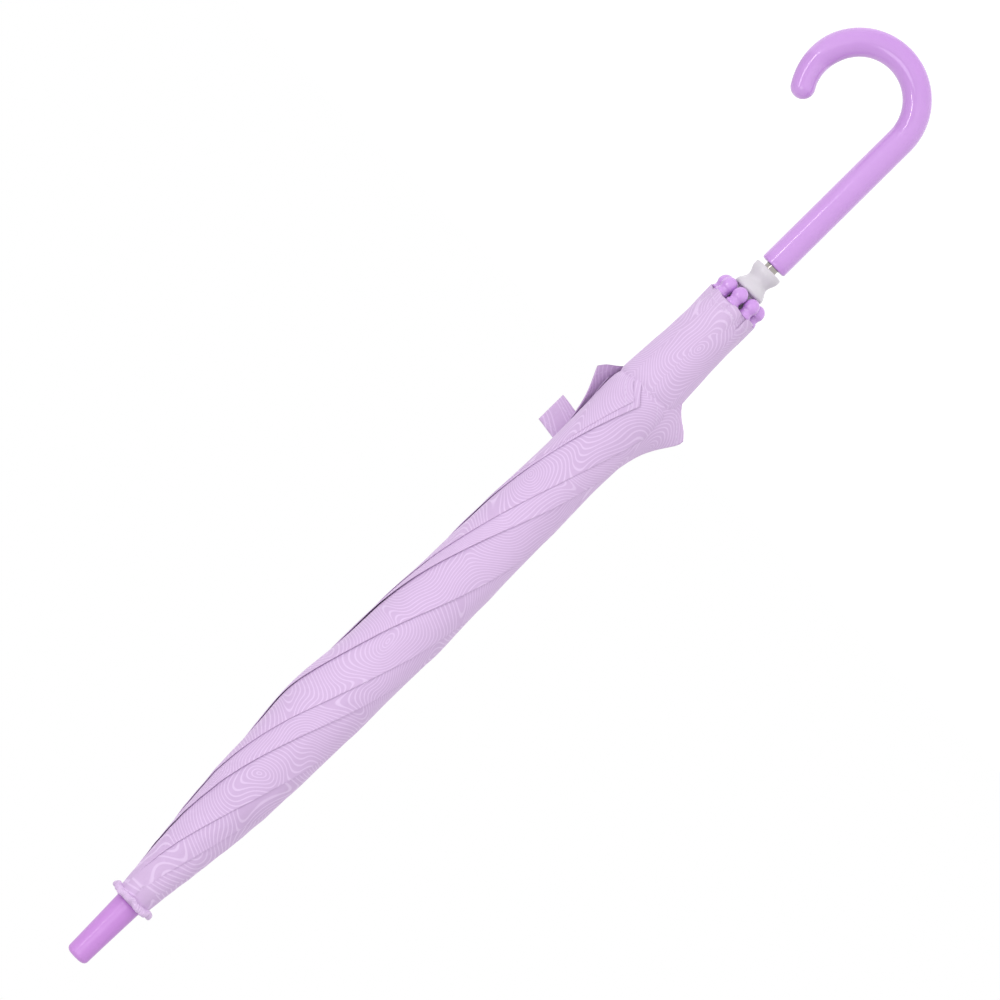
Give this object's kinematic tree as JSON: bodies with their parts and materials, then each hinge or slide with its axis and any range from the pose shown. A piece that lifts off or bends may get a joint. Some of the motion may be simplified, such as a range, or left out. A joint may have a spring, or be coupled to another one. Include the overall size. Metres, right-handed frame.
{
  "type": "children's umbrella",
  "caption": "Children's stick umbrella with a J-hook handle, folding ribs and stretchers, sliding runner, printed fabric canopy, ball rib tips and tie strap.",
  "frame": {"origin": "on the shaft's axis, at the middle of the handle's straight part", "axes": "+Z along the shaft towards the ferrule, +X the way the hook curls, the canopy furled round the shaft"},
  "size_m": [0.0966, 0.0442, 0.6887],
  "materials": {
    "lilac_plastic": "glossy lilac",
    "ferrule_plastic": "satin, deeper lilac",
    "canopy_cloth": "thin woven, printed with pale wavy lines",
    "white_plastic": "satin white",
    "bright_tube": "bright plated steel",
    "steel_wire": "plain drawn wire"
  },
  "bodies": {
    "shaft": {"handle": "lilac_plastic", "shaft_tube": "bright_tube", "ferrule": "ferrule_plastic", "crown_ruffle": "canopy_cloth", "crown_patch": "canopy_cloth", "top_notch": "white_plastic", "notch_ring": "steel_wire", "notch_pin": "steel_wire", "stop_pin": "steel_wire"},
    "rib_arm_1": {"rib_1": "steel_wire", "rib_tip_1": "lilac_plastic", "joint_rivet_1": "steel_wire"},
    "rib_arm_2": {"rib_2": "steel_wire", "rib_tip_2": "lilac_plastic", "joint_rivet_2": "steel_wire"},
    "rib_arm_3": {"rib_3": "steel_wire", "rib_tip_3": "lilac_plastic", "joint_rivet_3": "steel_wire"},
    "rib_arm_4": {"rib_4": "steel_wire", "rib_tip_4": "lilac_plastic", "joint_rivet_4": "steel_wire"},
    "rib_arm_5": {"rib_5": "steel_wire", "rib_tip_5": "lilac_plastic", "joint_rivet_5": "steel_wire"},
    "rib_arm_6": {"rib_6": "steel_wire", "rib_tip_6": "lilac_plastic", "joint_rivet_6": "steel_wire"},
    "rib_arm_7": {"rib_7": "steel_wire", "rib_tip_7": "lilac_plastic", "joint_rivet_7": "steel_wire"},
    "rib_arm_8": {"rib_8": "steel_wire", "rib_tip_8": "lilac_plastic", "joint_rivet_8": "steel_wire"},
    "stretcher_arm_1": {"stretcher_1": "steel_wire"},
    "stretcher_arm_2": {"stretcher_2": "steel_wire"},
    "stretcher_arm_3": {"stretcher_3": "steel_wire"},
    "stretcher_arm_4": {"stretcher_4": "steel_wire"},
    "stretcher_arm_5": {"stretcher_5": "steel_wire"},
    "stretcher_arm_6": {"stretcher_6": "steel_wire"},
    "stretcher_arm_7": {"stretcher_7": "steel_wire"},
    "stretcher_arm_8": {"stretcher_8": "steel_wire"},
    "gore_1": {"canopy_panel_1": "canopy_cloth"},
    "gore_2": {"canopy_panel_2": "canopy_cloth"},
    "gore_3": {"canopy_panel_3": "canopy_cloth", "snap_socket": "white_plastic"},
    "gore_4": {"canopy_panel_4": "canopy_cloth"},
    "gore_5": {"canopy_panel_5": "canopy_cloth"},
    "gore_6": {"canopy_panel_6": "canopy_cloth"},
    "gore_7": {"canopy_panel_7": "canopy_cloth"},
    "gore_8": {"canopy_panel_8": "canopy_cloth"},
    "runner_slide": {"runner": "white_plastic", "runner_ring": "steel_wire"},
    "top_catch_leaf": {"top_catch": "steel_wire"},
    "bottom_catch_leaf": {"bottom_catch": "steel_wire"},
    "strap": {"tie_strap": "canopy_cloth", "snap_stud": "white_plastic"}
  },
  "joints": [
    {"name": "rib_1_pivot", "type": "hinge", "parent": "shaft", "child": "rib_arm_1", "pos_m": [0.00694, 0.00091, 0.5443], "axis": [0.1305, -0.9914, 0], "range_deg": [0, 64]},
    {"name": "rib_2_pivot", "type": "hinge", "parent": "shaft", "child": "rib_arm_2", "pos_m": [0.00426, 0.00555, 0.5443], "axis": [0.7934, -0.6088, 0], "range_deg": [0, 64]},
    {"name": "rib_3_pivot", "type": "hinge", "parent": "shaft", "child": "rib_arm_3", "pos_m": [-0.00091, 0.00694, 0.5443], "axis": [0.9914, 0.1305, 0], "range_deg": [0, 64]},
    {"name": "rib_4_pivot", "type": "hinge", "parent": "shaft", "child": "rib_arm_4", "pos_m": [-0.00555, 0.00426, 0.5443], "axis": [0.6088, 0.7934, 0], "range_deg": [0, 64]},
    {"name": "rib_5_pivot", "type": "hinge", "parent": "shaft", "child": "rib_arm_5", "pos_m": [-0.00694, -0.00091, 0.5443], "axis": [-0.1305, 0.9914, 0], "range_deg": [0, 64]},
    {"name": "rib_6_pivot", "type": "hinge", "parent": "shaft", "child": "rib_arm_6", "pos_m": [-0.00426, -0.00555, 0.5443], "axis": [-0.7934, 0.6088, 0], "range_deg": [0, 64]},
    {"name": "rib_7_pivot", "type": "hinge", "parent": "shaft", "child": "rib_arm_7", "pos_m": [0.00091, -0.00694, 0.5443], "axis": [-0.9914, -0.1305, 0], "range_deg": [0, 64]},
    {"name": "rib_8_pivot", "type": "hinge", "parent": "shaft", "child": "rib_arm_8", "pos_m": [0.00555, -0.00426, 0.5443], "axis": [-0.6088, -0.7934, 0], "range_deg": [0, 64]},
    {"name": "stretcher_1_pin", "type": "hinge", "parent": "rib_arm_1", "child": "stretcher_arm_1", "pos_m": [0.01356, 0.00179, 0.3194], "axis": [0.1305, -0.9914, 0], "range_deg": [-129, 0]},
    {"name": "stretcher_2_pin", "type": "hinge", "parent": "rib_arm_2", "child": "stretcher_arm_2", "pos_m": [0.00833, 0.01085, 0.3194], "axis": [0.7934, -0.6088, 0], "range_deg": [-129, 0]},
    {"name": "stretcher_3_pin", "type": "hinge", "parent": "rib_arm_3", "child": "stretcher_arm_3", "pos_m": [-0.00179, 0.01356, 0.3194], "axis": [0.9914, 0.1305, 0], "range_deg": [-129, 0]},
    {"name": "stretcher_4_pin", "type": "hinge", "parent": "rib_arm_4", "child": "stretcher_arm_4", "pos_m": [-0.01085, 0.00833, 0.3194], "axis": [0.6088, 0.7934, 0], "range_deg": [-129, 0]},
    {"name": "stretcher_5_pin", "type": "hinge", "parent": "rib_arm_5", "child": "stretcher_arm_5", "pos_m": [-0.01356, -0.00179, 0.3194], "axis": [-0.1305, 0.9914, 0], "range_deg": [-129, 0]},
    {"name": "stretcher_6_pin", "type": "hinge", "parent": "rib_arm_6", "child": "stretcher_arm_6", "pos_m": [-0.00833, -0.01085, 0.3194], "axis": [-0.7934, 0.6088, 0], "range_deg": [-129, 0]},
    {"name": "stretcher_7_pin", "type": "hinge", "parent": "rib_arm_7", "child": "stretcher_arm_7", "pos_m": [0.00179, -0.01356, 0.3194], "axis": [-0.9914, -0.1305, 0], "range_deg": [-129, 0]},
    {"name": "stretcher_8_pin", "type": "hinge", "parent": "rib_arm_8", "child": "stretcher_arm_8", "pos_m": [0.01085, -0.00833, 0.3194], "axis": [-0.6088, -0.7934, 0], "range_deg": [-129, 0]},
    {"name": "runner_pin", "type": "hinge", "parent": "stretcher_arm_1", "child": "runner_slide", "pos_m": [0.00694, 0.00091, 0.0945], "axis": [0.1305, -0.9914, 0], "range_deg": [0, 65]},
    {"name": "gore_1_fan", "type": "hinge", "parent": "rib_arm_1", "child": "gore_1", "pos_m": [0.00685, 0.0009, 0.55205], "axis": [0.9534, 0.3016, 0.0113], "range_deg": [0, 40.97], "deforming": ["canopy_panel_1"]},
    {"name": "gore_2_fan", "type": "hinge", "parent": "rib_arm_2", "child": "gore_2", "pos_m": [0.00421, 0.00548, 0.55205], "axis": [0.4609, 0.8874, 0.0113], "range_deg": [0, 40.97], "deforming": ["canopy_panel_2"]},
    {"name": "gore_3_fan", "type": "hinge", "parent": "rib_arm_3", "child": "gore_3", "pos_m": [-0.0009, 0.00685, 0.55205], "axis": [-0.3016, 0.9534, 0.0113], "range_deg": [0, 40.97], "deforming": ["canopy_panel_3"]},
    {"name": "gore_4_fan", "type": "hinge", "parent": "rib_arm_4", "child": "gore_4", "pos_m": [-0.00548, 0.00421, 0.55205], "axis": [-0.8874, 0.4609, 0.0113], "range_deg": [0, 40.97], "deforming": ["canopy_panel_4"]},
    {"name": "gore_5_fan", "type": "hinge", "parent": "rib_arm_5", "child": "gore_5", "pos_m": [-0.00685, -0.0009, 0.55205], "axis": [-0.9534, -0.3016, 0.0113], "range_deg": [0, 40.97], "deforming": ["canopy_panel_5"]},
    {"name": "gore_6_fan", "type": "hinge", "parent": "rib_arm_6", "child": "gore_6", "pos_m": [-0.00421, -0.00548, 0.55205], "axis": [-0.4609, -0.8874, 0.0113], "range_deg": [0, 40.97], "deforming": ["canopy_panel_6"]},
    {"name": "gore_7_fan", "type": "hinge", "parent": "rib_arm_7", "child": "gore_7", "pos_m": [0.0009, -0.00685, 0.55205], "axis": [0.3016, -0.9534, 0.0113], "range_deg": [0, 40.97], "deforming": ["canopy_panel_7"]},
    {"name": "gore_8_fan", "type": "hinge", "parent": "rib_arm_8", "child": "gore_8", "pos_m": [0.00548, -0.00421, 0.55205], "axis": [0.8874, -0.4609, 0.0113], "range_deg": [0, 40.97], "deforming": ["canopy_panel_8"]},
    {"name": "top_catch_press", "type": "slide", "parent": "shaft", "child": "top_catch_leaf", "axis": [-0.866, -0.5, 0], "range_m": [0, 0.0012], "stiffness_N_per_m": 200, "springref_m": -0.0005},
    {"name": "bottom_catch_press", "type": "slide", "parent": "shaft", "child": "bottom_catch_leaf", "axis": [-0.866, -0.5, 0], "range_m": [0, 0.0012], "stiffness_N_per_m": 200, "springref_m": -0.0005},
    {"name": "tie_strap_swing", "type": "hinge", "parent": "rib_arm_3", "child": "strap", "pos_m": [-0.003, 0.01958, 0.1943], "axis": [0, 0, 1], "range_deg": [0, 95]}
  ],
  "couplings": [
    {"joint": "rib_2_pivot", "follows": "rib_1_pivot", "ratio": 1},
    {"joint": "rib_3_pivot", "follows": "rib_1_pivot", "ratio": 1},
    {"joint": "rib_4_pivot", "follows": "rib_1_pivot", "ratio": 1},
    {"joint": "rib_5_pivot", "follows": "rib_1_pivot", "ratio": 1},
    {"joint": "rib_6_pivot", "follows": "rib_1_pivot", "ratio": 1},
    {"joint": "rib_7_pivot", "follows": "rib_1_pivot", "ratio": 1},
    {"joint": "rib_8_pivot", "follows": "rib_1_pivot", "ratio": 1},
    {"joint": "stretcher_1_pin", "follows": "rib_1_pivot", "ratio": -2},
    {"joint": "stretcher_2_pin", "follows": "rib_1_pivot", "ratio": -2},
    {"joint": "stretcher_3_pin", "follows": "rib_1_pivot", "ratio": -2},
    {"joint": "stretcher_4_pin", "follows": "rib_1_pivot", "ratio": -2},
    {"joint": "stretcher_5_pin", "follows": "rib_1_pivot", "ratio": -2},
    {"joint": "stretcher_6_pin", "follows": "rib_1_pivot", "ratio": -2},
    {"joint": "stretcher_7_pin", "follows": "rib_1_pivot", "ratio": -2},
    {"joint": "stretcher_8_pin", "follows": "rib_1_pivot", "ratio": -2},
    {"joint": "runner_pin", "follows": "rib_1_pivot", "ratio": 1},
    {"joint": "gore_1_fan", "follows": "rib_1_pivot", "ratio": 0.63233},
    {"joint": "gore_2_fan", "follows": "rib_1_pivot", "ratio": 0.63233},
    {"joint": "gore_3_fan", "follows": "rib_1_pivot", "ratio": 0.63233},
    {"joint": "gore_4_fan", "follows": "rib_1_pivot", "ratio": 0.63233},
    {"joint": "gore_5_fan", "follows": "rib_1_pivot", "ratio": 0.63233},
    {"joint": "gore_6_fan", "follows": "rib_1_pivot", "ratio": 0.63233},
    {"joint": "gore_7_fan", "follows": "rib_1_pivot", "ratio": 0.63233},
    {"joint": "gore_8_fan", "follows": "rib_1_pivot", "ratio": 0.63233}
  ]
}
